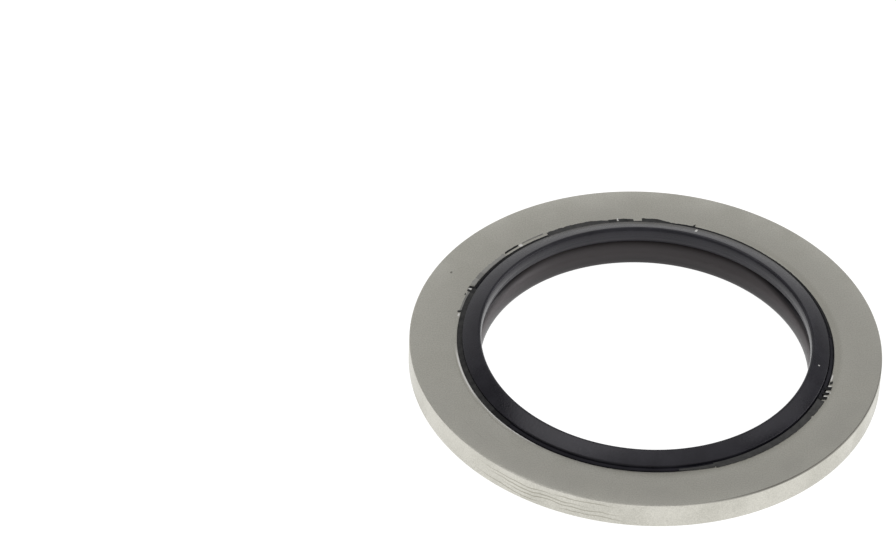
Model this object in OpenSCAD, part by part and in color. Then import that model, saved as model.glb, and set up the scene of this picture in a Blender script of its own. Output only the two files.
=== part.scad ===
// Bonded sealing ring: a flat steel washer with a rubber ring moulded into its bore.
// The rubber has a sealing lip above and below the steel and a groove between the two lips.
// The axis is +Z and the origin is the centre of the ring, halfway through its thickness.

/* [Steel washer] */
// Outside diameter of the washer
washer_d = 24; // [22:0.1:30]
// Bore of the washer, to which the rubber is bonded
washer_bore_d = 19.1; // [18.6:0.1:20.6]
// Thickness of the steel
washer_t = 1.4; // [1.2:0.1:2.2]
// Radius of the washer's rounded edges
edge_round = 0.05; // [0.03:0.01:0.25]

/* [Sealing lips] */
// Clear bore through the lips
lip_bore_d = 16.7; // [15.6:0.1:17.2]
// Height of each lip's crest above the face of the steel, before the crest is rounded
lip_proud = 0.52; // [0.3:0.01:0.7]
// Height of each lip's narrowest part above the face of the steel
throat_proud = 0.1; // [0:0.01:0.12]
// Length of the straight wall at that narrowest part
throat_wall = 0.1; // [0.1:0.01:0.3]
// Radius of the bulging faces above and below the straight wall
lip_round = 0.78; // [0.6:0.01:1.2]
// Greatest depth of the groove between the lips, measured outward from the clear bore
groove_depth = 0.57; // [0.2:0.01:0.65]
// Radius of the rounded crest
crest_round = 0.12; // [0.04:0.01:0.16]

/* [Rubber margin] */
// Height of the sloping land's outer edge above the face of the steel
land_proud = 0.18; // [0.1:0.01:0.25]
// Width of the sloping margin between the land and the steel
margin_w = 0.15; // [0.1:0.01:0.4]
// Height of that margin's inner edge above the face of the steel
margin_proud = 0.05; // [0:0.01:0.1]
// Depth of its outer edge below the face of the steel
margin_drop = 0.01; // [0:0.01:0.08]
// Width of the slanted step from the margin up to the land
step_w = 0.03; // [0.01:0.01:0.08]
// Width of the narrow groove between the margin and the steel
seam_w = 0.06; // [0.02:0.01:0.1]
// Depth of that groove below the face of the steel
seam_depth = 0.08; // [0.05:0.01:0.2]

/* [Hidden] */
$fn = 180;

// Radii of the steel, and half its thickness
washer_r = washer_d / 2;
bond_r = washer_bore_d / 2;
face_z = washer_t / 2;

// The rubber holds the washer's bore up to the bottom of the narrow groove beside the steel
bond_z = face_z - seam_depth;
seam_r = bond_r - seam_w;

// Outer edge of the margin, foot of the step at its inner edge, and the land's outer edge above that
margin_edge = [seam_r, face_z - margin_drop];
step_foot = [seam_r - margin_w, face_z + margin_proud];
land_edge = [step_foot[0] - step_w, face_z + land_proud];

// Ends of the straight wall inside each lip
lip_r = lip_bore_d / 2;
throat_z = face_z + throat_proud;
throat_top = throat_z + throat_wall / 2;
throat_bottom = throat_z - throat_wall / 2;

// The crest would lie where the bulging face above the straight wall reaches the lip's height
lip_centre = [lip_r + lip_round, throat_top];
crest_z = face_z + lip_proud;
crest_rise = crest_z - throat_top;
crest = [lip_centre[0] - sqrt(lip_round * lip_round - crest_rise * crest_rise), crest_z];

// Its rounding touches the land and the bulging face: unit vectors along and out of the land,
// then how far the rounding's centre has slid along the land
land_run = (land_edge - crest) / norm(land_edge - crest);
land_out = [-land_run[1], land_run[0]];
inset = crest - crest_round * land_out - lip_centre;
inner_r = lip_round - crest_round;
slid = -inset * land_run - sqrt(pow(inset * land_run, 2) - inset * inset + inner_r * inner_r);
crest_centre = lip_centre + inset + slid * land_run;
round_from = atan2(land_out[1], land_out[0]);
round_to = atan2(crest_centre[1] - lip_centre[1], crest_centre[0] - lip_centre[0]);
round_steps = 10;
crest_points = [
    for (i = [0:round_steps])
        let (a = round_from + (round_to - round_from) * i / round_steps)
        crest_centre + crest_round * [cos(a), sin(a)]
];
lip_top = crest_points[round_steps];

// Points of an upper half section, closed by the same points turned over below the middle
function both_halves(upper) = concat(
    upper,
    [for (i = [len(upper) - 1:-1:0]) [upper[i][0], -upper[i][1]]]
);

// Copies of a section's detail above and below the middle
module above_and_below() {
    children();
    mirror([0, 1]) children();
}

// A square corner less its rounding, as a cutter for the corner at the origin
module corner_cut(r) {
    difference() {
        square(r);
        translate([r, r]) circle(r);
    }
}

module washer_section() {
    difference() {
        translate([bond_r, -face_z]) square([washer_r - bond_r, washer_t]);
        above_and_below() {
            translate([bond_r, -face_z]) corner_cut(edge_round);
            translate([washer_r, -face_z]) mirror([1, 0]) corner_cut(edge_round);
        }
    }
}

// Outer form of the rubber: bond, seam, margin, step, sloping land, rounded crest and a straight bore
module seal_outline() {
    polygon(both_halves(concat(
        [[bond_r, bond_z], [seam_r, bond_z], margin_edge, step_foot, land_edge],
        crest_points,
        [[lip_r, lip_top[1]]]
    )));
}

// What is cut away above the straight wall, so that the lip bulges from there to its rounded crest
module crest_cut() {
    difference() {
        translate([lip_r, throat_top]) square([lip_top[0] - lip_r, lip_top[1] - throat_top]);
        translate(lip_centre) circle(lip_round);
    }
}

// What is cut away between the lips, so that both bulge towards the bottom of the groove
module groove_cut() {
    difference() {
        translate([lip_r, -throat_bottom]) square([groove_depth, 2 * throat_bottom]);
        above_and_below() translate([lip_r + lip_round, throat_bottom]) circle(lip_round);
    }
}

module steel_washer() {
    color([0.62, 0.61, 0.58])
        rotate_extrude() washer_section();
}

module rubber_seal() {
    color([0.17, 0.17, 0.18])
        rotate_extrude()
            difference() {
                seal_outline();
                above_and_below() crest_cut();
                groove_cut();
            }
}

steel_washer();
rubber_seal();
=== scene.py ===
"""Looks of a bonded sealing ring: a plated steel washer with a rubber lip ring moulded into its bore."""

import logging
import math
from dataclasses import dataclass
from enum import Enum
from functools import partial, reduce

import bmesh
import bpy
from mathutils import Matrix, Vector, noise


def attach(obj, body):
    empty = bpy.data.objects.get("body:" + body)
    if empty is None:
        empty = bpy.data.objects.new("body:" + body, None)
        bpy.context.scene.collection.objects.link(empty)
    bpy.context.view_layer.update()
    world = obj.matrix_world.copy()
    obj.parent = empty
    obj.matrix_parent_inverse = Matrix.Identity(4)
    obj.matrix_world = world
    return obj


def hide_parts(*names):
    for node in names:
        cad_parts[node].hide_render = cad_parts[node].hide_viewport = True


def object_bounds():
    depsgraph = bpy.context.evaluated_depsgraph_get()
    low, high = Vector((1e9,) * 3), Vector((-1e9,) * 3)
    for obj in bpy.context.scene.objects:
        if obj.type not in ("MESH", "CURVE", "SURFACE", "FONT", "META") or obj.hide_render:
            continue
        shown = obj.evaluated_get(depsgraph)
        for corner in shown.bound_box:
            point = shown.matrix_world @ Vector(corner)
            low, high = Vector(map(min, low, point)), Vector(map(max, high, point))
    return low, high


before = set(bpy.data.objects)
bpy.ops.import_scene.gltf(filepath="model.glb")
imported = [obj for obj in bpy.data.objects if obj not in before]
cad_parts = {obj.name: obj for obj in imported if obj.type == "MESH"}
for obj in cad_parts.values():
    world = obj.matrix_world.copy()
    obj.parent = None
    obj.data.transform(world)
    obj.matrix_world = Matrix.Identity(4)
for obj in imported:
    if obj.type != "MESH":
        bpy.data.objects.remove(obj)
CAD_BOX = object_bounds()

LOG = logging.getLogger("sealing_ring")
MM = 0.001
MM_PER_METRE = 1000.0
# Vertices closer than this become one, and a vertex this near a corner of the section lies on it
WELD_MM = 0.002
NEAR_MM = 0.004
# The floor lies this far below the ring, so that the two never touch
FLOOR_GAP_MM = 0.005
# Sums of two grains that count as smoothest and as roughest
GRAIN_SUM = (0.2, 1.8)
# Share of a stroke's half length and half width inside which it is full
STROKE_CORE = 0.4
ORIGIN = (0.0, 0.0, 0.0)
RING_AXIS = (0.0, 0.0, 1.0)
SECTION_AXIS = (0.0, 1.0, 0.0)

Point = tuple[float, float]
Place = tuple[float, float, float]
Colour = tuple[float, float, float]
Socket = bpy.types.NodeSocket


class Slot(Enum):
    """Material slots of the record."""

    STEEL = "steel"
    RUBBER = "rubber"


class FilmBody(Enum):
    """How much rubber a patch of mould flash holds, from a grey stain to a full bead."""

    STAIN = 0.06
    THIN = 0.22
    DENSE = 0.72
    FULL = 0.84
    BEAD = 1.0


class Wiring:
    """Adds nodes to one node tree and joins them."""

    def __init__(self, tree: bpy.types.NodeTree) -> None:
        """Keeps the tree that the nodes go into."""
        self.tree = tree

    def node(self, kind: str, **settings: object) -> bpy.types.Node:
        """Adds a node.

        Args:
            kind: Blender's name of the node type.
            settings: attributes to set on the new node.

        Returns:
            The new node.
        """
        new = self.tree.nodes.new(kind)
        for name, value in settings.items():
            setattr(new, name, value)
        return new

    def feed(self, socket: Socket, value: object) -> None:
        """Gives an input a link where the value is a socket, and a fixed value otherwise.

        Args:
            socket: the input.
            value: socket, number or colour.
        """
        if isinstance(value, Socket):
            self.tree.links.new(value, socket)
        else:
            socket.default_value = value

    def math(self, operation: str, first: object, second: object = 0.0, clamp: bool = False) -> Socket:
        """Adds a Math node.

        Args:
            operation: the sum to do.
            first: socket or number.
            second: socket or number.
            clamp: keep the result between 0 and 1.

        Returns:
            The result's socket.
        """
        new = self.node("ShaderNodeMath", operation=operation, use_clamp=clamp)
        self.feed(new.inputs[0], first)
        self.feed(new.inputs[1], second)
        return new.outputs[0]

    def times(self, first: object, second: object) -> Socket:
        """Multiplies two sockets or numbers."""
        return self.math("MULTIPLY", first, second)

    def most(self, *masks: Socket) -> Socket:
        """Joins masks by the highest at each point."""
        return reduce(partial(self.math, "MAXIMUM"), masks)

    def span(self, value: object, low: object, high: object, to_low: float = 0.0, to_high: float = 1.0,
             smooth: bool = True) -> Socket:
        """Adds a Map Range node.

        Args:
            value: socket to map.
            low: value that gives to_low.
            high: value that gives to_high.
            to_low: result at low.
            to_high: result at high.
            smooth: ease in and out.

        Returns:
            The result's socket.
        """
        new = self.node("ShaderNodeMapRange", interpolation_type="SMOOTHSTEP" if smooth else "LINEAR")
        for name, given in (("Value", value), ("From Min", low), ("From Max", high), ("To Min", to_low),
                            ("To Max", to_high)):
            self.feed(new.inputs[name], given)
        return new.outputs["Result"]

    def blend(self, factor: object, first: object, second: object) -> Socket:
        """Mixes two colours.

        Args:
            factor: share of the second colour.
            first: socket or colour.
            second: socket or colour.

        Returns:
            The mixed colour's socket.
        """
        new = self.node("ShaderNodeMix", data_type="RGBA")
        self.feed(new.inputs[0], factor)
        for socket, colour in zip([s for s in new.inputs if s.type == "RGBA"], (first, second)):
            self.feed(socket, colour if isinstance(colour, Socket) else (*colour, 1.0))
        return next(s for s in new.outputs if s.type == "RGBA")

    def group(self, tree: bpy.types.NodeTree, **values: object) -> bpy.types.Node:
        """Places a shared group.

        Args:
            tree: the group.
            values: its inputs, with underscores for spaces.

        Returns:
            The group's node.
        """
        new = self.node("ShaderNodeGroup", node_tree=tree)
        for name, value in values.items():
            self.feed(new.inputs[name.replace("_", " ")], value)
        return new


class SharedEffects:
    """Node groups that several finishes use, each built once."""

    def __init__(self) -> None:
        """Builds the groups."""
        self.place = self._ring_place()
        self.grain = self._grain()
        self.stroke = self._stroke()

    @staticmethod
    def _new(name: str, inputs: dict[str, float], outputs: list[str]) -> tuple[Wiring, dict, dict]:
        """Starts a group.

        Args:
            name: name of the group.
            inputs: number inputs and their defaults.
            outputs: number outputs.

        Returns:
            The wiring, the input sockets by name and the output sockets by name.
        """
        tree = bpy.data.node_groups.new(name, "ShaderNodeTree")
        for label, default in inputs.items():
            entry = tree.interface.new_socket(label, in_out="INPUT", socket_type="NodeSocketFloat")
            entry.default_value = default
        for label in outputs:
            tree.interface.new_socket(label, in_out="OUTPUT", socket_type="NodeSocketFloat")
        wiring = Wiring(tree)
        enter = wiring.node("NodeGroupInput")
        leave = wiring.node("NodeGroupOutput")
        return wiring, {k: enter.outputs[k] for k in inputs}, {k: leave.inputs[k] for k in outputs}

    def _ring_place(self) -> bpy.types.NodeTree:
        """Builds the group that says where a point lies on the ring.

        Returns:
            A group with Angle in degrees from +X, and Radius and Height in millimetres.
        """
        w, _, out = self._new("ring_place", {}, ["Angle", "Radius", "Height"])
        split = w.node("ShaderNodeSeparateXYZ")
        w.feed(split.inputs[0], w.node("ShaderNodeTexCoord").outputs["Object"])
        x, y, z = split.outputs
        w.feed(out["Angle"], w.math("DEGREES", w.math("ARCTAN2", y, x)))
        reach = w.math("SQRT", w.math("ADD", w.times(x, x), w.times(y, y)))
        w.feed(out["Radius"], w.times(reach, MM_PER_METRE))
        w.feed(out["Height"], w.times(z, MM_PER_METRE))
        return w.tree

    def _grain(self) -> bpy.types.NodeTree:
        """Builds the group for uneven surfaces.

        Returns:
            A group whose Value runs from 0 to 1 in blotches of Size millimetres.
        """
        w, given, out = self._new("grain", {"Size": 1.0, "Detail": 2.0, "Low": 0.35, "High": 0.65}, ["Value"])
        grow = w.node("ShaderNodeVectorMath", operation="SCALE")
        w.feed(grow.inputs[0], w.node("ShaderNodeTexCoord").outputs["Object"])
        w.feed(grow.inputs["Scale"], w.math("DIVIDE", MM_PER_METRE, given["Size"]))
        cloud = w.node("ShaderNodeTexNoise")
        w.feed(cloud.inputs["Vector"], grow.outputs[0])
        cloud.inputs["Scale"].default_value = 1.0
        w.feed(cloud.inputs["Detail"], given["Detail"])
        w.feed(out["Value"], w.span(cloud.outputs[0], given["Low"], given["High"]))
        return w.tree

    def _stroke(self) -> bpy.types.NodeTree:
        """Builds the group for one mark that runs along an angle.

        Returns:
            A group whose Mask is 1 where Along and Across lie near the middle of the mark.
        """
        names = {"Along": 0.0, "Across": 0.0, "Middle": 0.0, "Half length": 1.0, "Place": 0.0,
                 "Half width": 0.1}
        w, given, out = self._new("stroke", names, ["Mask"])
        parts = []
        for value, middle, half in (("Along", "Middle", "Half length"), ("Across", "Place", "Half width")):
            off = w.math("ABSOLUTE", w.math("SUBTRACT", given[value], given[middle]))
            parts.append(w.span(off, given[half], w.times(given[half], STROKE_CORE)))
        w.feed(out["Mask"], w.times(*parts))
        return w.tree

    def where(self, w: Wiring) -> tuple[Socket, Socket, Socket]:
        """Places ring_place in a material and gives its Angle, Radius and Height."""
        place = w.group(self.place)
        return place.outputs["Angle"], place.outputs["Radius"], place.outputs["Height"]


@dataclass(frozen=True)
class Fade:
    """A change from none to all between two values of a measure, eased where it is smooth."""

    none: float
    full: float
    smooth: bool = True

    def mask(self, w: Wiring, measure: Socket) -> Socket:
        """Gives 0 at one value of the measure and 1 at the other."""
        return w.span(measure, self.none, self.full, smooth=self.smooth)


@dataclass(frozen=True)
class Grain:
    """Uneven blotches: size in millimetres, fineness, and the noise levels that count as none and as all."""

    size: float
    detail: float
    low: float
    high: float

    def value(self, w: Wiring, effects: SharedEffects) -> Socket:
        """Places the blotches in a material, with a value from 0 to 1."""
        new = w.group(effects.grain, Size=self.size, Detail=self.detail, Low=self.low, High=self.high)
        return new.outputs["Value"]


@dataclass(frozen=True)
class Stroke:
    """One mark on a surface: its place along the ring in degrees and across it in millimetres."""

    middle: float
    half_length: float
    place: float
    half_width: float

    def mask(self, w: Wiring, effects: SharedEffects, along: Socket, across: Socket) -> Socket:
        """Places the mark in a material.

        Args:
            w: the material's wiring.
            effects: the shared groups.
            along: angle socket.
            across: radius or height socket.

        Returns:
            The mark's mask.
        """
        new = w.group(effects.stroke, Along=along, Across=across, Middle=self.middle,
                      Half_length=self.half_length, Place=self.place, Half_width=self.half_width)
        return new.outputs["Mask"]


def all_strokes(strokes: tuple[Stroke, ...], w: Wiring, effects: SharedEffects, along: Socket,
                across: Socket) -> Socket:
    """Places several marks in a material.

    Args:
        strokes: the marks.
        w: the material's wiring.
        effects: the shared groups.
        along: angle socket.
        across: radius or height socket.

    Returns:
        One mask for them all.
    """
    return w.most(*(stroke.mask(w, effects, along, across) for stroke in strokes))


def start_material(name: str, swatch: Colour) -> tuple[bpy.types.Material, Wiring, bpy.types.Node]:
    """Starts a material with a Principled shader.

    Args:
        name: name of the material.
        swatch: colour shown in the viewport.

    Returns:
        The material, its wiring and its shader.
    """
    material = bpy.data.materials.new(name)
    material.use_nodes = True
    material.diffuse_color = (*swatch, 1.0)
    wiring = Wiring(material.node_tree)
    return material, wiring, material.node_tree.nodes["Principled BSDF"]


def uneven_gloss(w: Wiring, first: Socket, second: Socket, smoothest: float, roughest: float) -> Socket:
    """Gives a roughness that follows two grains.

    Args:
        w: the material's wiring.
        first: one grain.
        second: the other.
        smoothest: roughness where both are low.
        roughest: roughness where both are high.

    Returns:
        The roughness.
    """
    return w.span(w.math("ADD", first, second), *GRAIN_SUM, smoothest, roughest)


def add_bump(w: Wiring, shader: bpy.types.Node, height: Socket, depth_mm: float) -> None:
    """Gives a shader a bump.

    Args:
        w: the material's wiring.
        shader: the Principled shader.
        height: socket with the height, 0 to 1.
        depth_mm: depth in millimetres.
    """
    bump = w.node("ShaderNodeBump")
    bump.inputs["Distance"].default_value = depth_mm * MM
    w.feed(bump.inputs["Height"], height)
    w.feed(shader.inputs["Normal"], bump.outputs[0])


@dataclass(frozen=True)
class PlatedSteel:
    """Satin zinc plating, slightly warm, with turning lines on the rim, scuffs, scrapes, a painted highlight
    along the bore's edge and painted shade on the rim's edge.
    """

    bright: Colour = (0.664, 0.65, 0.59)
    dull: Colour = (0.484, 0.474, 0.422)
    line: Colour = (0.33, 0.315, 0.26)
    # Colour of the bare scrapes, also used for a painted highlight along the bore's edge
    highlight_and_bare_tone: Colour = (0.95, 0.94, 0.91)
    dark: Colour = (0.22, 0.212, 0.187)
    smoothest: float = 0.34
    roughest: float = 0.46
    clouds: Grain = Grain(2.2, 3.0, 0.3, 0.7)
    satin: Grain = Grain(0.07, 3.0, 0.25, 0.75)
    cloud_share: float = 0.35
    satin_share: float = 0.65
    relief: float = 0.0022
    wander: Grain = Grain(1.9, 2.0, 0.2, 0.8)
    line_drift: float = 0.24
    line_share: float = 0.8
    line_depth: float = 2.0
    scuff_drift: float = 0.1
    scuff_share: float = 0.4
    border_share: float = 0.28
    rim_radii: Fade = Fade(11.85, 11.97)
    rim_edge_radii: Fade = Fade(11.93, 11.955)
    upper_heights: Fade = Fade(0.5, 0.64)
    turning_lines: tuple[Stroke, ...] = (
        Stroke(-117.0, 16.0, 0.2, 0.05),
        Stroke(-111.0, 19.0, -0.02, 0.045),
        Stroke(-122.0, 13.0, 0.42, 0.035),
        Stroke(-105.0, 9.0, 0.52, 0.04),
        Stroke(-124.0, 12.0, -0.26, 0.035),
        Stroke(-103.0, 10.0, -0.3, 0.04),
    )
    scuffs: tuple[Stroke, ...] = (
        Stroke(-141.0, 7.0, 11.1, 0.02),
        Stroke(-134.0, 6.0, 10.72, 0.018),
        Stroke(-128.0, 10.0, 10.35, 0.015),
        Stroke(-160.0, 17.0, 9.84, 0.04),
        Stroke(-141.0, 11.0, 9.8, 0.04),
    )
    scrapes_and_highlight: tuple[Stroke, ...] = (
        Stroke(131.8, 0.8, 9.70, 0.12),
        Stroke(157.9, 0.6, 9.71, 0.11),
        Stroke(170.4, 0.9, 9.67, 0.07),
        Stroke(98.55, 0.3, 9.72, 0.15),
        # These two lie along the bore's edge at the left and are a painted highlight
        Stroke(-138.0, 17.0, 9.615, 0.06),
        Stroke(-162.0, 15.0, 9.64, 0.065),
        Stroke(-16.3, 0.5, 9.65, 0.12),
        Stroke(-19.0, 0.45, 9.68, 0.2),
        Stroke(-21.1, 0.45, 9.68, 0.2),
        Stroke(-12.4, 1.9, 9.61, 0.05),
    )
    # Painted shade along the rim's top edge at the near right
    shaded_rim_edge: Stroke = Stroke(-38.0, 46.0, 0.69, 0.11)
    nick: Stroke = Stroke(154.0, 0.5, 11.12, 0.07)
    border: Stroke = Stroke(-17.0, 110.0, 9.58, 0.5)

    def material(self, effects: SharedEffects) -> bpy.types.Material:
        """Builds the material.

        Args:
            effects: the shared groups.

        Returns:
            The material.
        """
        material, w, shader = start_material("plated_steel", self.bright)
        angle, radius, height = effects.where(w)
        clouds = self.clouds.value(w, effects)
        satin = self.satin.value(w, effects)
        wander = self.wander.value(w, effects)
        upper = self.upper_heights.mask(w, height)

        # Dark marks: wavering turning lines on the rim and scuffs on the faces
        wavering = w.math("ADD", height, w.times(wander, self.line_drift))
        lines = w.times(all_strokes(self.turning_lines, w, effects, angle, wavering),
                        self.rim_radii.mask(w, radius))
        wavering = w.math("ADD", radius, w.times(wander, self.scuff_drift))
        scuffs = w.times(all_strokes(self.scuffs, w, effects, angle, wavering), self.scuff_share)
        marks = w.most(lines, scuffs)

        # The nick is darker still, as is the painted shade on the rim's top edge at the near right; the
        # scrapes are bare, and those along the bore's edge at the left are a painted highlight
        rim_edge_shade = w.times(self.shaded_rim_edge.mask(w, effects, angle, height), self.rim_edge_radii.mask(w, radius))
        nick = w.times(self.nick.mask(w, effects, angle, radius), upper)
        bare_and_highlight = w.times(all_strokes(self.scrapes_and_highlight, w, effects, angle, radius), upper)
        border = w.times(self.border.mask(w, effects, angle, radius), self.border_share)

        mottle = w.math("ADD", w.times(clouds, self.cloud_share), w.times(satin, self.satin_share))
        plating = w.blend(mottle, self.bright, self.dull)
        plating = w.blend(border, plating, self.line)
        plating = w.blend(w.times(marks, self.line_share), plating, self.line)
        # Painted shade on the rim's top edge, and the nick
        plating = w.blend(w.most(rim_edge_shade, nick), plating, self.dark)
        # Bare scrapes and the painted highlight along the bore's edge
        w.feed(shader.inputs["Base Color"], w.blend(bare_and_highlight, plating, self.highlight_and_bare_tone))
        w.feed(shader.inputs["Roughness"], uneven_gloss(w, satin, clouds, self.smoothest, self.roughest))
        shader.inputs["Metallic"].default_value = 1.0
        add_bump(w, shader, w.math("SUBTRACT", satin, w.times(marks, self.line_depth)), self.relief)
        return material


@dataclass(frozen=True)
class MouldedRubber:
    """Black moulded rubber with a soft gloss, a faint bloom, pale specks, and dust on the lower lip that is
    painted lighter below the groove and at the sides as painted light.
    """

    black: Colour = (0.0105, 0.0100, 0.0145)
    bloom: Colour = (0.0205, 0.0198, 0.0265)
    gloss: Colour = (0.97, 0.95, 1.0)
    dust: Colour = (0.046, 0.040, 0.039)
    # These two are painted light: the lower lip below the groove is painted lighter, and lighter still at the
    # sides as a painted sheen
    lightened_dust: Colour = (0.112, 0.101, 0.101)
    side_lit_dust: Colour = (0.18, 0.162, 0.164)
    pale_speck: Colour = (0.75, 0.74, 0.72)
    smoothest: float = 0.17
    roughest: float = 0.27
    specular: float = 0.41
    clouds: Grain = Grain(1.3, 4.0, 0.3, 0.75)
    skin: Grain = Grain(0.09, 3.0, 0.3, 0.7)
    relief: float = 0.0016
    speck_matt: float = 0.6
    speck_heights: Fade = Fade(0.7, 0.8)
    margin_matt: float = 0.9
    margin_radii: Fade = Fade(9.315, 9.325)
    dust_matt: float = 0.36
    # Heights and radii of the dust, inside which the painted light lies
    dust_and_light_heights: Fade = Fade(0.12, 0.0)
    dust_and_light_radii: Fade = Fade(9.0, 8.95)
    # The band of the lower lip below the groove that is painted lighter
    shelf_from: Fade = Fade(-0.85, -0.35)
    shelf_to: Fade = Fade(0.02, -0.14)
    # The painted sheen is least round this angle and grows away from it, where the dust also reaches less
    # high
    least_lit_at: float = 90.0
    side_lit_degrees: Fade = Fade(30.0, 62.0)
    side_lit_drop: float = 0.22
    lip_from: Fade = Fade(0.84, 0.64)
    lip_to: Fade = Fade(0.0, 0.15)
    lip_radii: Fade = Fade(8.64, 8.58)
    lip_matt_least: float = 0.27
    lip_matt_most: float = 0.48
    specks: tuple[Stroke, ...] = (
        Stroke(73.2, 0.5, 9.02, 0.22),
        Stroke(-10.0, 0.32, 8.86, 0.06),
    )

    def material(self, effects: SharedEffects) -> bpy.types.Material:
        """Builds the material.

        Args:
            effects: the shared groups.

        Returns:
            The material.
        """
        material, w, shader = start_material("moulded_rubber", self.black)
        angle, radius, height = effects.where(w)
        clouds = self.clouds.value(w, effects)
        skin = self.skin.value(w, effects)
        pale_speck = w.times(all_strokes(self.specks, w, effects, angle, radius), self.speck_heights.mask(w, height))

        # Dust inside the ring with painted light: the dust reaches less high away from one angle, and the
        # lower lip below the groove is painted lighter, lightest away from that angle, as painted light in
        # the groove and a painted sheen at the sides
        off = w.math("ABSOLUTE", w.math("SUBTRACT", angle, self.least_lit_at))
        aside = self.side_lit_degrees.mask(w, off)
        lowered = w.math("ADD", height, w.times(aside, self.side_lit_drop))
        dust_and_painted_light = w.times(self.dust_and_light_heights.mask(w, lowered), self.dust_and_light_radii.mask(w, radius))
        shelf = w.times(self.shelf_from.mask(w, height), self.shelf_to.mask(w, lowered))
        lightened_dust = w.blend(shelf, self.dust, w.blend(aside, self.lightened_dust, self.side_lit_dust))
        body = w.blend(dust_and_painted_light, w.blend(clouds, self.black, self.bloom), lightened_dust)
        w.feed(shader.inputs["Base Color"], w.blend(pale_speck, body, self.pale_speck))

        # The narrowest part of the upper lip, the margin, the dust and the pale specks are less glossy
        lip = w.times(self.lip_from.mask(w, height), self.lip_to.mask(w, height))
        lip = w.span(lip, 0.0, 1.0, self.lip_matt_least, self.lip_matt_most)
        rough = w.most(uneven_gloss(w, clouds, skin, self.smoothest, self.roughest),
                       w.times(pale_speck, self.speck_matt),
                       w.times(self.margin_radii.mask(w, radius), self.margin_matt),
                       w.times(dust_and_painted_light, self.dust_matt),
                       w.times(self.lip_radii.mask(w, radius), lip))
        w.feed(shader.inputs["Roughness"], rough)
        shader.inputs["Specular IOR Level"].default_value = self.specular
        shader.inputs["Specular Tint"].default_value = (*self.gloss, 1.0)
        add_bump(w, shader, skin, self.relief)
        return material


@dataclass(frozen=True)
class RubberFilm:
    """Skin of rubber squeezed over the steel, grey where it is thin and black where it is full."""

    stain: Colour = (0.40, 0.395, 0.372)
    thin: Colour = (0.17, 0.168, 0.162)
    full: Colour = (0.020, 0.020, 0.021)
    smoothest: float = 0.5
    roughest: float = 0.62
    specular: float = 0.12
    clouds: Grain = Grain(0.35, 4.0, 0.25, 0.75)
    cloud_middle: float = 0.5
    cloud_share: float = 0.12
    skin: Grain = Grain(0.06, 3.0, 0.3, 0.7)
    relief: float = 0.004
    thin_bodies: Fade = Fade(0.0, 0.45, smooth=False)
    full_bodies: Fade = Fade(0.3, 0.95, smooth=False)

    def material(self, effects: SharedEffects) -> bpy.types.Material:
        """Builds the material.

        Args:
            effects: the shared groups.

        Returns:
            The material.
        """
        material, w, shader = start_material("rubber_film", self.full)
        body = w.node("ShaderNodeAttribute", attribute_name="film").outputs["Fac"]
        clouds = w.math("SUBTRACT", self.clouds.value(w, effects), self.cloud_middle)
        body = w.math("ADD", body, w.times(clouds, self.cloud_share), clamp=True)
        grey = w.blend(self.thin_bodies.mask(w, body), self.stain, self.thin)
        w.feed(shader.inputs["Base Color"], w.blend(self.full_bodies.mask(w, body), grey, self.full))
        w.feed(shader.inputs["Roughness"], w.span(body, 0.0, 1.0, self.smoothest, self.roughest))
        shader.inputs["Specular IOR Level"].default_value = self.specular
        add_bump(w, shader, self.skin.value(w, effects), self.relief)
        return material


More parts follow.
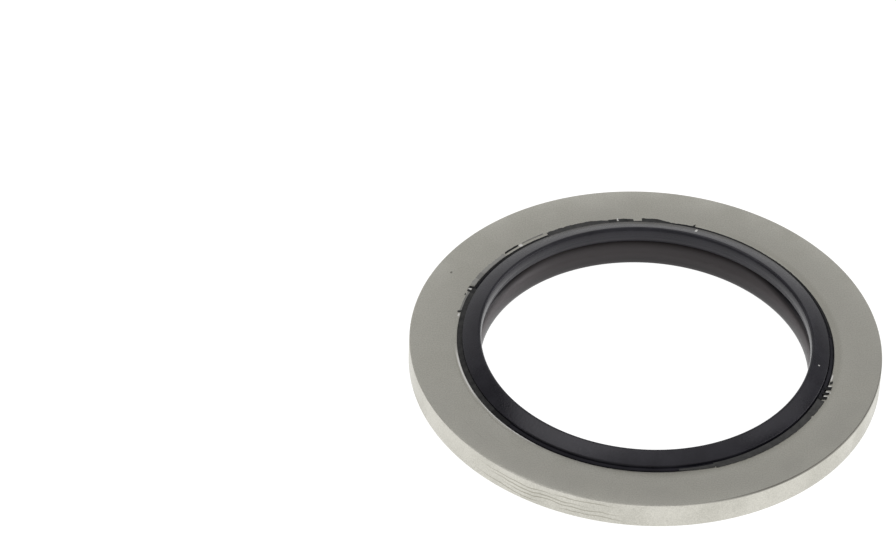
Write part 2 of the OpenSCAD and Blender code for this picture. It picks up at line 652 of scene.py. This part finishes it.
class TurnedMesh:
    """A mesh in millimetres, drawn as a section in the XZ plane and turned about the Z axis."""

    def __init__(self, name: str, start: Point) -> None:
        """Starts the section.

        Args:
            name: name of the piece.
            start: first point (radius, height).
        """
        self.name = name
        self.mesh = bmesh.new()
        self.first = self.mesh.verts.new((start[0], 0.0, start[1]))
        self.last = self.first

    def line_to(self, point: Point) -> None:
        """Draws a straight line from the last point.

        Args:
            point: where it goes (radius, height).
        """
        grown = bmesh.ops.extrude_vert_indiv(self.mesh, verts=[self.last])
        self.last = grown["verts"][0]
        self.last.co = (point[0], 0.0, point[1])

    def arc(self, centre: Point, degrees: float, steps: int) -> None:
        """Draws an arc from the last point.

        Args:
            centre: middle of the arc (radius, height).
            degrees: turn about +Y.
            steps: straight pieces in the arc.
        """
        turned = bmesh.ops.spin(self.mesh, geom=[self.last], cent=(centre[0], 0.0, centre[1]),
                                axis=SECTION_AXIS, angle=math.radians(degrees), steps=steps)
        self.last = next(e for e in turned["geom_last"] if isinstance(e, bmesh.types.BMVert))

    def turn(self, steps: int, sectors: int = 12) -> None:
        """Closes the section and turns it into a ring.

        Args:
            steps: faces round the whole ring.
            sectors: equal parts that the ring is put together from, which is quicker than one long turn.
        """
        self.mesh.edges.new((self.last, self.first))
        bmesh.ops.spin(self.mesh, geom=self.mesh.verts[:] + self.mesh.edges[:], cent=ORIGIN, axis=RING_AXIS,
                       angle=math.tau / sectors, steps=steps // sectors)
        sector = self.mesh.verts[:] + self.mesh.edges[:] + self.mesh.faces[:]
        for count in range(1, sectors):
            copy = bmesh.ops.duplicate(self.mesh, geom=sector)["geom"]
            onward = Matrix.Rotation(math.tau * count / sectors, 3, "Z")
            bmesh.ops.rotate(self.mesh, cent=ORIGIN, matrix=onward,
                             verts=[g for g in copy if isinstance(g, bmesh.types.BMVert)])
        bmesh.ops.remove_doubles(self.mesh, verts=self.mesh.verts[:], dist=WELD_MM)
        bmesh.ops.recalc_face_normals(self.mesh, faces=self.mesh.faces[:])

    def hoops(self, corners: list[Point]) -> list[bmesh.types.BMEdge]:
        """Finds the edges that run round the ring at given corners of the section.

        Args:
            corners: points (radius, height); the same points below the middle count too.

        Returns:
            The edges.
        """
        def at(vert: bmesh.types.BMVert) -> bool:
            """Tells whether a vertex lies on one of the corners."""
            reach, rise = math.hypot(vert.co.x, vert.co.y), abs(vert.co.z)
            return any(abs(reach - r) < NEAR_MM and abs(rise - abs(h)) < NEAR_MM for r, h in corners)
        return [e for e in self.mesh.edges if at(e.verts[0]) and at(e.verts[1])
                and abs(e.verts[0].co.z - e.verts[1].co.z) < NEAR_MM
                and abs(e.verts[0].co.xy.length - e.verts[1].co.xy.length) < NEAR_MM]

    def round_off(self, corners: list[Point], radius: float, segments: int) -> None:
        """Rounds the edges that run round the ring at given corners, with so many faces across."""
        bmesh.ops.bevel(self.mesh, geom=self.hoops(corners), offset=radius, offset_type="OFFSET",
                        segments=segments, profile=0.5, affect="EDGES", material=-1)

    def finish(self, sharp_degrees: float) -> bpy.types.Object:
        """Turns the mesh into an object in metres, with edges bent further than the angle left crisp."""
        return to_object(self.mesh, self.name, sharp_degrees)


def to_object(mesh: bmesh.types.BMesh, name: str, sharp_degrees: float) -> bpy.types.Object:
    """Turns a mesh in millimetres into an object in metres.

    Args:
        mesh: the mesh, which is freed.
        name: name of the piece.
        sharp_degrees: edges bent further than this stay crisp.

    Returns:
        The object, linked to the scene.
    """
    bmesh.ops.scale(mesh, vec=(MM, MM, MM), verts=mesh.verts[:])
    data = bpy.data.meshes.new(name)
    mesh.to_mesh(data)
    mesh.free()
    data.shade_smooth()
    data.set_sharp_from_angle(angle=math.radians(sharp_degrees))
    piece = bpy.data.objects.new(name, data)
    bpy.context.scene.collection.objects.link(piece)
    flat = piece.modifiers.new("flat_faces", "WEIGHTED_NORMAL")
    flat.mode = "FACE_AREA"
    flat.weight = 100
    flat.keep_sharp = True
    return piece


@dataclass
class SteelWasher:
    """The flat washer, in millimetres."""

    outer_r: float = 11.995
    bore_r: float = 9.55
    half_t: float = 0.7
    edge_round: float = 0.05
    edge_faces: int = 4
    steps: int = 720
    sharp_degrees: float = 40.0

    def build(self) -> bpy.types.Object:
        """Builds the washer.

        Returns:
            The piece.
        """
        ring = TurnedMesh("plated_washer", (self.bore_r, -self.half_t))
        ring.line_to((self.outer_r, -self.half_t))
        ring.line_to((self.outer_r, self.half_t))
        ring.line_to((self.bore_r, self.half_t))
        ring.turn(self.steps)
        corners = [(self.bore_r, self.half_t), (self.outer_r, self.half_t)]
        ring.round_off(corners, self.edge_round, self.edge_faces)
        return ring.finish(self.sharp_degrees)

    def dress(self, piece: bpy.types.Object, effects: SharedEffects) -> None:
        """Plates the washer and puts it in the node's place.

        Args:
            piece: the washer.
            effects: the shared groups.
        """
        piece.data.materials.append(PlatedSteel().material(effects))
        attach(piece, "root")
        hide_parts("steel_washer")


@dataclass
class RubberSeal:
    """The moulded ring with its two lips, in millimetres."""

    bond_r: float = 9.55
    bond_z: float = 0.62
    seam_r: float = 9.49
    margin_z: float = 0.69
    foot_r: float = 9.36
    foot_z: float = 0.742
    nick_r: float = 9.335
    nick_half_w: float = 0.012
    nick_z: float = 0.66
    land_r: float = 9.31
    land_z: float = 0.88
    land_soft: float = 0.02
    land_soft_faces: int = 3
    crest_z: float = 1.219
    crest_round: float = 0.12
    crest_steps: int = 9
    lip_r: float = 8.35
    lip_round: float = 0.78
    lip_steps: int = 6
    throat_top: float = 0.85
    throat_bottom: float = 0.75
    groove_steps: int = 18
    steps: int = 720
    sharp_degrees: float = 35.0

    def crest(self) -> tuple[Vector, float, float]:
        """Works out the rounding between the land and the bulging face.

        Returns:
            Its middle (radius, height), and the angles in degrees at which it leaves the land and meets the
            face.
        """
        middle = Vector((self.lip_r + self.lip_round, self.throat_top))
        rise = self.crest_z - self.throat_top
        corner = Vector((middle.x - math.sqrt(self.lip_round ** 2 - rise ** 2), self.crest_z))
        along = (Vector((self.land_r, self.land_z)) - corner).normalized()
        out = Vector((-along.y, along.x))
        inset = corner - self.crest_round * out - middle
        slid = -inset.dot(along) - math.sqrt(inset.dot(along) ** 2 - inset.length_squared
                                             + (self.lip_round - self.crest_round) ** 2)
        offset = inset + slid * along
        leaves = math.degrees(math.atan2(out.y, out.x))
        meets = math.degrees(math.atan2(offset.y, offset.x))
        return middle + offset, leaves, meets

    def build(self) -> bpy.types.Object:
        """Builds the ring from the upper end of its bond, over the upper lip, to the lower one.

        Returns:
            The piece.
        """
        land = (self.land_r, self.land_z)
        margin = (self.seam_r, self.margin_z)
        nick = [(self.nick_r + self.nick_half_w, self.nick_z), (self.nick_r - self.nick_half_w, self.nick_z)]
        upper = [(self.seam_r, self.bond_z), margin, (self.foot_r, self.foot_z), *nick, land]
        centre, leaves, meets = self.crest()
        start = (centre.x + self.crest_round * math.cos(math.radians(leaves)),
                 centre.y + self.crest_round * math.sin(math.radians(leaves)))
        to_valley = math.degrees(math.asin(self.throat_bottom / self.lip_round))
        middle = self.lip_r + self.lip_round
        ring = TurnedMesh("moulded_seal", (self.bond_r, self.bond_z))
        for point in upper + [start]:
            ring.line_to(point)
        ring.arc((centre.x, centre.y), leaves - meets, self.crest_steps)
        ring.arc((middle, self.throat_top), meets - 180.0, self.lip_steps)
        ring.line_to((self.lip_r, self.throat_bottom))
        ring.arc((middle, self.throat_bottom), -to_valley, self.groove_steps)
        ring.arc((middle, -self.throat_bottom), -to_valley, self.groove_steps)
        ring.line_to((self.lip_r, -self.throat_top))
        ring.arc((middle, -self.throat_top), meets - 180.0, self.lip_steps)
        ring.arc((centre.x, -centre.y), leaves - meets, self.crest_steps)
        for r, z in reversed(upper):
            ring.line_to((r, -z))
        ring.line_to((self.bond_r, -self.bond_z))
        ring.turn(self.steps)
        ring.round_off([land, margin], self.land_soft, self.land_soft_faces)
        return ring.finish(self.sharp_degrees)

    def dress(self, piece: bpy.types.Object, effects: SharedEffects) -> None:
        """Gives the ring its rubber and puts it in the node's place.

        Args:
            piece: the ring.
            effects: the shared groups.
        """
        piece.data.materials.append(MouldedRubber().material(effects))
        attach(piece, "root")
        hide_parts("rubber_seal")


@dataclass(frozen=True)
class FlashPatch:
    """One patch of film, in degrees along the ring and millimetres across it.

    It runs from start to end and from the inner radius out to reach_start and reach_end, with an edge that is
    ragged by so many millimetres. Lean is how many degrees its outer edge is turned along the ring.
    """

    start: float
    end: float
    reach_start: float
    reach_end: float
    body: FilmBody
    ragged: float = 0.02
    lean: float = 0.0
    inner: float = 9.46


@dataclass
class MouldFlash:
    """Film of rubber that the mould left over the border of the rubber and the steel, in millimetres."""

    margin_z: float = 0.71
    foot_r: float = 9.34
    foot_z: float = 0.765
    face_z: float = 0.701
    margin_r: float = 9.49
    climb_w: float = 0.1
    full_reach: float = 9.9
    thickness: float = 0.018
    step_degrees: float = 0.25
    least_steps: int = 4
    cuts: int = 5
    waves: float = 0.9
    ripples: float = 2.7
    ripple_share: float = 0.5
    ripple_seed: float = 7.0
    sharp_degrees: float = 35.0
    patches: tuple[FlashPatch, ...] = (
        FlashPatch(6.0, 50.0, 9.535, 9.56, FilmBody.BEAD, 0.01, 0.0, 9.43),
        FlashPatch(50.0, 74.6, 9.56, 9.61, FilmBody.BEAD, 0.01, 0.0, 9.41),
        FlashPatch(74.6, 75.2, 9.80, 9.70, FilmBody.BEAD, 0.01, 0.0, 9.41),
        FlashPatch(75.2, 81.8, 9.63, 9.60, FilmBody.BEAD, 0.02, 0.0, 9.41),
        FlashPatch(81.8, 86.5, 9.60, 9.78, FilmBody.FULL, 0.03, 0.0, 9.41),
        FlashPatch(86.5, 91.2, 9.77, 9.79, FilmBody.FULL, 0.03, 0.0, 9.41),
        FlashPatch(91.2, 93.6, 9.57, 9.57, FilmBody.FULL, 0.01, 0.0, 9.41),
        FlashPatch(93.5, 98.1, 9.71, 9.76, FilmBody.FULL, 0.03, 0.4, 9.41),
        FlashPatch(98.0, 99.1, 9.58, 9.58, FilmBody.FULL, 0.01, 0.0, 9.41),
        FlashPatch(99.0, 101.6, 9.75, 9.73, FilmBody.FULL, 0.02, 0.0, 9.41),
        FlashPatch(101.5, 107.0, 9.69, 9.81, FilmBody.DENSE, 0.03, 0.0, 9.34),
        FlashPatch(106.9, 121.8, 9.81, 9.77, FilmBody.DENSE, 0.04, 0.0, 9.335),
        FlashPatch(122.0, 140.0, 9.58, 9.58, FilmBody.BEAD, 0.015, 0.0, 9.44),
        FlashPatch(140.0, 157.5, 9.58, 9.58, FilmBody.BEAD, 0.01, 0.0, 9.46),
        FlashPatch(123.0, 130.8, 9.82, 9.81, FilmBody.THIN, 0.02, 0.0, 9.76),
        FlashPatch(132.6, 138.2, 9.83, 9.83, FilmBody.BEAD, 0.03, -0.5, 9.73),
        FlashPatch(138.6, 149.8, 9.80, 9.82, FilmBody.STAIN, 0.05, 0.0, 9.6),
        FlashPatch(149.9, 152.6, 9.84, 9.83, FilmBody.THIN, 0.04, 0.0, 9.6),
        FlashPatch(152.7, 156.2, 9.82, 9.84, FilmBody.STAIN, 0.04, 0.0, 9.6),
        FlashPatch(156.4, 157.3, 9.81, 9.82, FilmBody.BEAD, 0.02, 0.3),
        FlashPatch(158.6, 159.4, 9.81, 9.8, FilmBody.FULL, 0.02, -0.3),
        FlashPatch(160.4, 161.1, 9.81, 9.81, FilmBody.FULL, 0.01, 0.0, 9.75),
        FlashPatch(159.4, 168.4, 9.72, 9.68, FilmBody.THIN, 0.03, 0.0, 9.6),
        FlashPatch(168.4, 169.1, 9.78, 9.78, FilmBody.FULL, 0.01, 0.2, 9.6),
        FlashPatch(157.5, 179.99, 9.62, 9.58, FilmBody.FULL, 0.01, 0.0, 9.325),
        FlashPatch(-179.99, -152.0, 9.58, 9.575, FilmBody.FULL, 0.0, 0.0, 9.325),
        FlashPatch(-152.0, -144.0, 9.575, 9.57, FilmBody.FULL, 0.0, 0.0, 9.335),
        FlashPatch(-144.0, -136.0, 9.57, 9.555, FilmBody.BEAD, 0.0, 0.0, 9.345),
        FlashPatch(-80.0, -69.2, 9.54, 9.66, FilmBody.DENSE, 0.01, 0.0, 9.44),
        FlashPatch(-69.2, -68.8, 9.6, 9.6, FilmBody.DENSE, 0.0, 0.0, 9.39),
        FlashPatch(-68.8, -50.0, 9.70, 9.71, FilmBody.DENSE, 0.015, 0.0, 9.39),
        FlashPatch(-50.0, -31.6, 9.71, 9.73, FilmBody.DENSE, 0.015, 0.0, 9.39),
        FlashPatch(-31.6, -30.6, 9.68, 9.68, FilmBody.DENSE, 0.01, 0.0, 9.39),
        FlashPatch(-30.6, -23.2, 9.73, 9.76, FilmBody.DENSE, 0.015, 0.0, 9.39),
        FlashPatch(-23.1, -21.9, 9.79, 9.79, FilmBody.BEAD, 0.01, 0.9, 9.40),
        FlashPatch(-20.7, -19.7, 9.78, 9.78, FilmBody.BEAD, 0.01, 0.8, 9.45),
        FlashPatch(-18.5, -17.1, 9.79, 9.78, FilmBody.BEAD, 0.01, 0.8, 9.45),
        FlashPatch(-15.4, -14.3, 9.74, 9.73, FilmBody.FULL, 0.01, 0.5, 9.60),
    )

    def _height(self, reach: float) -> float:
        """Gives the height of what the film lies on.

        Args:
            reach: a radius.

        Returns:
            The height of the margin or the steel there, eased from one to the other.
        """
        share = min(max((reach - self.foot_r) / (self.margin_r - self.foot_r), 0.0), 1.0)
        onto = min(max((reach - self.margin_r) / self.climb_w, 0.0), 1.0)
        margin = self.foot_z + (self.margin_z - self.foot_z) * share
        return margin + (self.face_z - margin) * onto * onto * (3.0 - 2.0 * onto)

    def _patch(self, patch: FlashPatch) -> bpy.types.Mesh:
        """Makes one patch.

        Args:
            patch: the patch.

        Returns:
            Its mesh, in millimetres.
        """
        mesh = bmesh.new()
        layer = mesh.verts.layers.float.new("film")
        begin = math.radians(patch.start)
        length = patch.end - patch.start
        steps = max(self.least_steps, int(length / self.step_degrees))
        ends = [mesh.verts.new((reach * math.cos(begin), reach * math.sin(begin), 0.0))
                for reach in (patch.inner, self.full_reach)]
        bmesh.ops.spin(mesh, geom=ends + [mesh.edges.new(ends)], cent=ORIGIN, axis=RING_AXIS,
                       angle=math.radians(length), steps=steps)
        radial = [e for e in mesh.edges if abs(e.verts[0].co.xy.length - e.verts[1].co.xy.length) > NEAR_MM]
        bmesh.ops.subdivide_edges(mesh, edges=radial, cuts=self.cuts, use_grid_fill=True)
        for vert in mesh.verts:
            self._shape(vert, patch, layer)
        grown = bmesh.ops.extrude_face_region(mesh, geom=mesh.faces[:])
        top = [g for g in grown["geom"] if isinstance(g, bmesh.types.BMVert)]
        bmesh.ops.translate(mesh, vec=(0.0, 0.0, self.thickness), verts=top)
        bmesh.ops.recalc_face_normals(mesh, faces=mesh.faces[:])
        data = bpy.data.meshes.new("flash_patch")
        mesh.to_mesh(data)
        mesh.free()
        return data

    def _shape(self, vert: bmesh.types.BMVert, patch: FlashPatch, layer: object) -> None:
        """Moves a vertex of a patch to the ragged outline and onto what it lies on.

        Args:
            vert: the vertex.
            patch: its patch.
            layer: the mesh's film layer.
        """
        angle = math.atan2(vert.co.y, vert.co.x)
        out = (vert.co.xy.length - patch.inner) / (self.full_reach - patch.inner)
        degrees = math.degrees(angle)
        share = (degrees - patch.start) / (patch.end - patch.start)
        wobble = noise.noise(Vector((degrees * self.waves, patch.start, 0.0)))
        ripple = noise.noise(Vector((degrees * self.ripples, patch.start, self.ripple_seed)))
        edge = patch.reach_start + (patch.reach_end - patch.reach_start) * share
        edge += patch.ragged * (wobble + self.ripple_share * ripple)
        reach = patch.inner + (edge - patch.inner) * out
        angle += math.radians(patch.lean * out)
        vert.co = (reach * math.cos(angle), reach * math.sin(angle), self._height(reach))
        vert[layer] = patch.body.value

    def build(self) -> bpy.types.Object:
        """Builds all patches as one piece.

        Returns:
            The piece.
        """
        mesh = bmesh.new()
        for patch in self.patches:
            data = self._patch(patch)
            mesh.from_mesh(data)
            bpy.data.meshes.remove(data)
        return to_object(mesh, "mould_flash", self.sharp_degrees)

    def dress(self, piece: bpy.types.Object, effects: SharedEffects) -> None:
        """Gives the film its finish and fixes it to the ring.

        Args:
            piece: the film.
            effects: the shared groups.
        """
        piece.data.materials.append(RubberFilm().material(effects))
        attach(piece, "root")


@dataclass(frozen=True)
class SoftBox:
    """A lamp that faces the ring: place and size in metres, and brightness of its face, where 1 is white."""

    name: str
    place: Place
    width: float
    height: float
    level: float

    def hang(self) -> None:
        """Hangs the lamp in the scene."""
        light = bpy.data.lights.new(self.name, "AREA")
        light.shape = "RECTANGLE"
        light.size = self.width
        light.size_y = self.height
        light.energy = self.level * math.pi * self.width * self.height
        holder = bpy.data.objects.new(self.name, light)
        holder.location = self.place
        holder.rotation_euler = (-Vector(self.place)).to_track_quat("-Z", "Y").to_euler()
        holder.visible_camera = False
        bpy.context.scene.collection.objects.link(holder)


@dataclass
class Studio:
    """Pale floor, soft light all round and the camera, in metres."""

    floor_z: float
    floor_radius: float = 0.6
    floor_sides: int = 96
    floor_grey: float = 0.24
    floor_glow: float = 0.98
    camera_at: Place = (-0.01017, -0.20917, 0.1858)
    pitch: float = 40.824
    roll: float = 2.361
    lens: float = 221.4
    sensor: float = 36.0
    clip_start: float = 0.01
    # Height of the direction and brightness of the sky there
    sky: tuple[Point, ...] = ((0.0, 0.7), (0.12, 0.6), (0.36, 0.48), (0.6, 0.262), (0.8, 0.22), (1.0, 0.85))
    # Directions in which the sky has another level: in front, high in front and low at the left
    in_front: float = 0.62
    front_y: Fade = Fade(0.05, -0.3)
    high_in_front: float = 0.3
    high_y: Fade = Fade(-0.12, -0.32)
    high_z: Fade = Fade(0.68, 0.82)
    low_left: float = 0.72
    left_x: Fade = Fade(-0.05, -0.5)
    low_z: Fade = Fade(0.62, 0.45)
    lamps: tuple[SoftBox, ...] = (
        SoftBox("right_box", (0.32, 0.03, 0.075), 0.34, 0.15, 1.6),
        SoftBox("back_card", (-0.03, 0.1, 0.042), 0.2, 0.08, 0.32),
        SoftBox("left_top_box", (-0.105, 0.066, 0.327), 0.2, 0.16, 1.1),
        SoftBox("right_top_box", (0.17, 0.133, 0.276), 0.14, 0.14, 0.75),
    )

    def floor(self) -> None:
        """Lays a floor that shows as white to the camera and in reflections, less its shadows."""
        mesh = bmesh.new()
        bmesh.ops.create_circle(mesh, cap_ends=True, segments=self.floor_sides, radius=self.floor_radius)
        bmesh.ops.translate(mesh, vec=(0.0, 0.0, self.floor_z), verts=mesh.verts[:])
        data = bpy.data.meshes.new("floor")
        mesh.to_mesh(data)
        mesh.free()
        piece = bpy.data.objects.new("floor", data)
        bpy.context.scene.collection.objects.link(piece)
        data.materials.append(self.floor_material())

    def floor_material(self) -> bpy.types.Material:
        """Builds the floor's finish, matt with a glow that lights nothing.

        Returns:
            The material.
        """
        material = bpy.data.materials.new("pale_floor")
        material.use_nodes = True
        w = Wiring(material.node_tree)
        w.tree.nodes.clear()
        path = w.node("ShaderNodeLightPath")
        rays = ("Is Camera Ray", "Is Glossy Ray", "Is Transmission Ray")
        seen = w.most(*(path.outputs[ray] for ray in rays))
        matt = w.node("ShaderNodeBsdfDiffuse")
        matt.inputs["Color"].default_value = (self.floor_grey, self.floor_grey, self.floor_grey, 1.0)
        glow = w.node("ShaderNodeEmission")
        w.feed(glow.inputs["Strength"], w.times(seen, self.floor_glow))
        both = w.node("ShaderNodeAddShader")
        w.feed(both.inputs[0], matt.outputs[0])
        w.feed(both.inputs[1], glow.outputs[0])
        w.feed(w.node("ShaderNodeOutputMaterial").inputs["Surface"], both.outputs[0])
        return material

    def world(self) -> None:
        """Surrounds the ring with a pale horizon, greyer above, dim high in front and low at the left."""
        world = bpy.data.worlds.new("soft_room")
        bpy.context.scene.world = world
        world.use_nodes = True
        w = Wiring(world.node_tree)
        w.tree.nodes.clear()
        split = w.node("ShaderNodeSeparateXYZ")
        w.feed(split.inputs[0], w.node("ShaderNodeTexCoord").outputs["Generated"])
        x, y, z = split.outputs
        ramp = w.node("ShaderNodeValToRGB")
        w.feed(ramp.inputs[0], z)
        ramp.color_ramp.elements[0].position = self.sky[0][0]
        ramp.color_ramp.elements[1].position = self.sky[-1][0]
        for place, _ in self.sky[1:-1]:
            ramp.color_ramp.elements.new(place)
        for element, (_, level) in zip(ramp.color_ramp.elements, self.sky):
            element.color = (level, level, level, 1.0)
        sky = w.blend(self.front_y.mask(w, y), ramp.outputs[0], (self.in_front,) * 3)
        high = w.times(self.high_y.mask(w, y), self.high_z.mask(w, z))
        left = w.times(self.left_x.mask(w, x), self.low_z.mask(w, z))
        dim = w.times(w.span(high, 0.0, 1.0, 1.0, self.high_in_front),
                      w.span(left, 0.0, 1.0, 1.0, self.low_left))
        back = w.node("ShaderNodeBackground")
        w.feed(back.inputs["Color"], sky)
        w.feed(back.inputs["Strength"], dim)
        w.feed(w.node("ShaderNodeOutputWorld").inputs["Surface"], back.outputs[0])

    def camera(self) -> None:
        """Sets the camera at the photograph's viewing angle."""
        data = bpy.data.cameras.new("camera")
        data.lens = self.lens
        data.sensor_width = self.sensor
        data.clip_start = self.clip_start
        holder = bpy.data.objects.new("camera", data)
        tilt = Matrix.Rotation(math.radians(90.0 - self.pitch), 4, "X")
        roll = Matrix.Rotation(math.radians(self.roll), 4, "Z")
        holder.matrix_world = Matrix.Translation(self.camera_at) @ (tilt @ roll)
        bpy.context.scene.collection.objects.link(holder)
        bpy.context.scene.camera = holder

    def build(self) -> None:
        """Builds floor, surroundings, lamps and camera."""
        self.floor()
        self.world()
        for lamp in self.lamps:
            lamp.hang()
        self.camera()
        bpy.context.scene.view_settings.view_transform = "Standard"


def main() -> None:
    """Builds the ring and its surroundings."""
    logging.basicConfig(level=logging.INFO, format="%(name)s: %(message)s")
    effects = SharedEffects()
    for assembly in (SteelWasher(), RubberSeal(), MouldFlash()):
        piece = assembly.build()
        assembly.dress(piece, effects)
        LOG.info("%s: %d faces", piece.name, len(piece.data.polygons))
    Studio(floor_z=CAD_BOX[0][2] - FLOOR_GAP_MM * MM).build()


if __name__ == "__main__":
    main()
